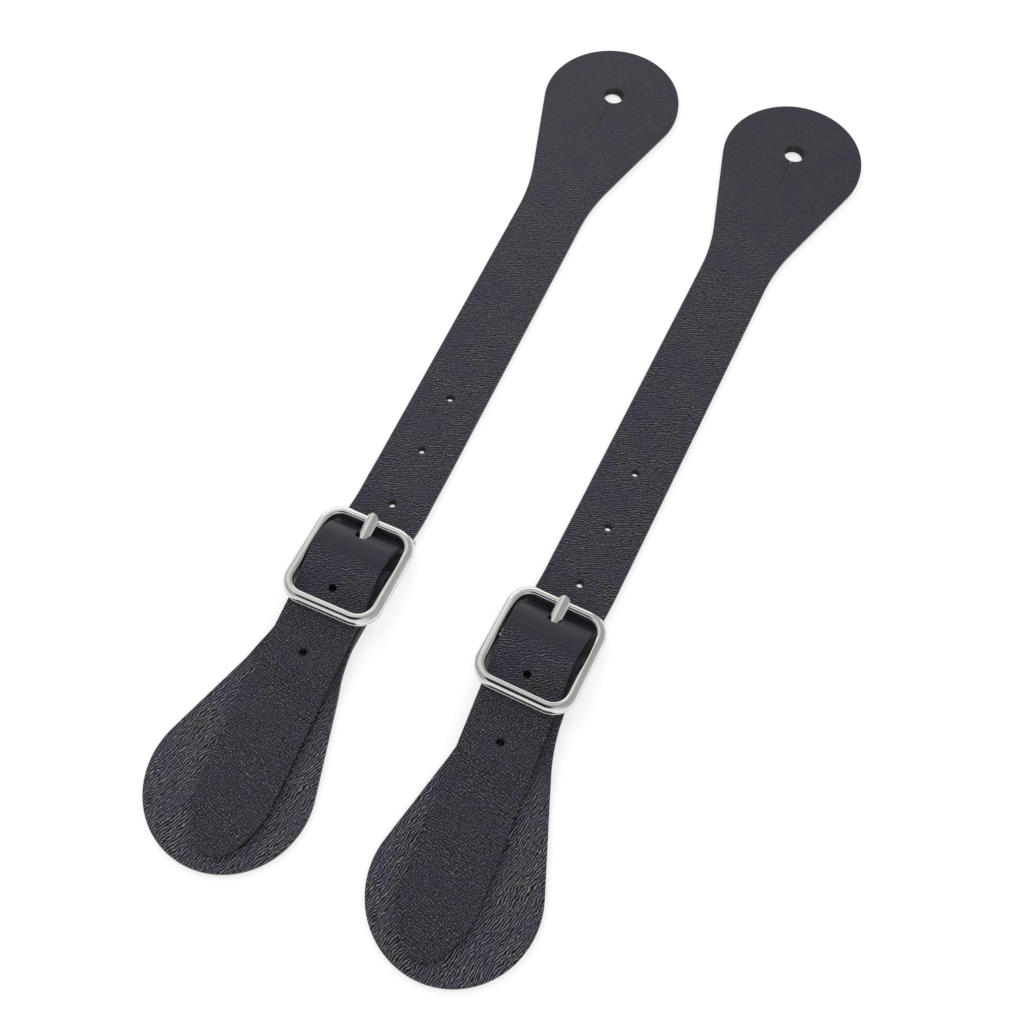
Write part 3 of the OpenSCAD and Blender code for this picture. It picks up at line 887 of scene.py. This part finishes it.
# ---------------------------------------------------------------- floor, light, camera
def floor():
    """A pale floor that glows like a lightbox, with painted shade, no glow and a dark colour, where
    a buckle shuts it in.
    """
    mesh = bpy.data.meshes.new("floor")
    r = FLOOR_HALF
    mesh.from_pydata([(-r, -r, 0), (r, -r, 0), (r, r, 0), (-r, r, 0)], [], [(0, 1, 2, 3)])
    m, tree, bsdf = shader("Pale floor", Roughness=0.9, Specular_IOR_Level=0.1)
    bsdf.inputs["Emission Color"].default_value = (1, 1, 1, 1)
    n = Nodes(tree)
    place = n.add("ShaderNodeTexCoord").outputs["Object"]
    open_sky = n.add("ShaderNodeAmbientOcclusion", {"Distance": 0.03}, samples=8).outputs["AO"]
    occlusion_shade = n.ramp(open_sky, 0.70, 0.45)
    unshaded = 1.0
    for side in (LEFT, RIGHT):
        centre = placed(side, BUCKLE_X[side] + PAINTED_SHADE_X, PAINTED_SHADE_Y, 0)[0] * MM
        away = n.add("ShaderNodeSeparateXYZ", {0: n.vector("ABSOLUTE", n.vector(
            "SUBTRACT", place, tuple(centre)))}).outputs
        under = n.math("MULTIPLY", *(
            n.ramp(away[i], end * MM, full * MM) for i, (end, full) in enumerate(PAINTED_SHADE_HALF)))
        unshaded = n.math("MULTIPLY", unshaded, n.math(
            "SUBTRACT", 1.0, n.math("MULTIPLY", under, occlusion_shade)))
    # Painted shade: where a buckle shuts the floor in, its glow is cut and its base colour darkened
    tree.links.new(n.math("MULTIPLY", unshaded, GLOW), bsdf.inputs["Emission Strength"])
    tree.links.new(n.mix(unshaded, (0.10, 0.09, 0.09), (0.93, 0.93, 0.93)), bsdf.inputs["Base Color"])
    mesh.materials.append(m)
    obj = linked("floor", mesh)
    obj.location.z = -0.00005


def area(name, place, target, size, power):
    """A softbox at a place, turned towards a target."""
    light = bpy.data.lights.new(name, "AREA")
    light.shape = "RECTANGLE"
    light.size, light.size_y = size
    light.energy = power
    obj = bpy.data.objects.new(name, light)
    obj.location = place
    obj.rotation_euler = (Vector(target) - Vector(place)).to_track_quat("-Z", "Y").to_euler()
    bpy.context.scene.collection.objects.link(obj)


def studio():
    """A pale tent, palest at the front, with a dark gap overhead and two softboxes."""
    world = bpy.data.worlds.new("Studio")
    bpy.context.scene.world = world
    world.use_nodes = True
    n = Nodes(world.node_tree)
    look = n.add("ShaderNodeTexCoord").outputs["Generated"]
    height = n.add("ShaderNodeSeparateXYZ", {0: look}).outputs[2]

    def towards(direction, wide, narrow):
        dot = n.add("ShaderNodeVectorMath", {0: look, 1: Vector(direction).normalized()},
                    operation="DOT_PRODUCT").outputs["Value"]
        return n.ramp(dot, math.cos(math.radians(wide)), math.cos(math.radians(narrow)))

    tent = n.ramp(height, -0.1, 0.9, 0.58, 0.43)
    front = n.math("MULTIPLY", towards((0.3, -1.0, 0.35), 60, 15), 0.45)
    gap = n.math("SUBTRACT", 1.0, n.math("MULTIPLY", towards((-0.08, -0.42, 0.90), 26, 15), 0.97))
    strength = n.math("MULTIPLY", n.math("ADD", tent, front), gap)
    back = world.node_tree.nodes["Background"]
    world.node_tree.links.new(strength, back.inputs["Strength"])
    back.inputs["Color"].default_value = (1, 1, 1, 1)
    area("back softbox", (-0.55, 0.9, 0.42), (0, -0.05, 0), (1.3, 0.6), 2.2)
    area("top softbox", (-0.85, 0.45, 1.4), (-0.1, 0, 0), (1.5, 1.5), 2.8)


def photo_camera():
    """The photo's view, as fitted to the straps' outlines."""
    target = Vector((1.35, -31.1, 0)) * MM
    towards = Vector((-0.4322, 0.9018, 0)).normalized()
    down, distance, roll = math.radians(64.47), 440.9 * MM, math.radians(0.61)
    view = towards * math.cos(down) - Vector((0, 0, 1)) * math.sin(down)
    right = view.cross(Vector((0, 0, 1))).normalized()
    up = right.cross(view)
    turned_right = right * math.cos(roll) - up * math.sin(roll)
    turned_up = right * math.sin(roll) + up * math.cos(roll)
    data = bpy.data.cameras.new("photo")
    data.lens, data.sensor_width = 45.18, 36.0
    data.clip_start, data.clip_end = 0.01, 20.0
    cam = bpy.data.objects.new("photo", data)
    m = Matrix((turned_right, turned_up, -view)).transposed().to_4x4()
    m.translation = target - view * distance
    cam.matrix_world = m
    bpy.context.scene.collection.objects.link(cam)
    bpy.context.scene.camera = cam


floor()
studio()
photo_camera()
bpy.context.scene.view_settings.view_transform = "Standard"
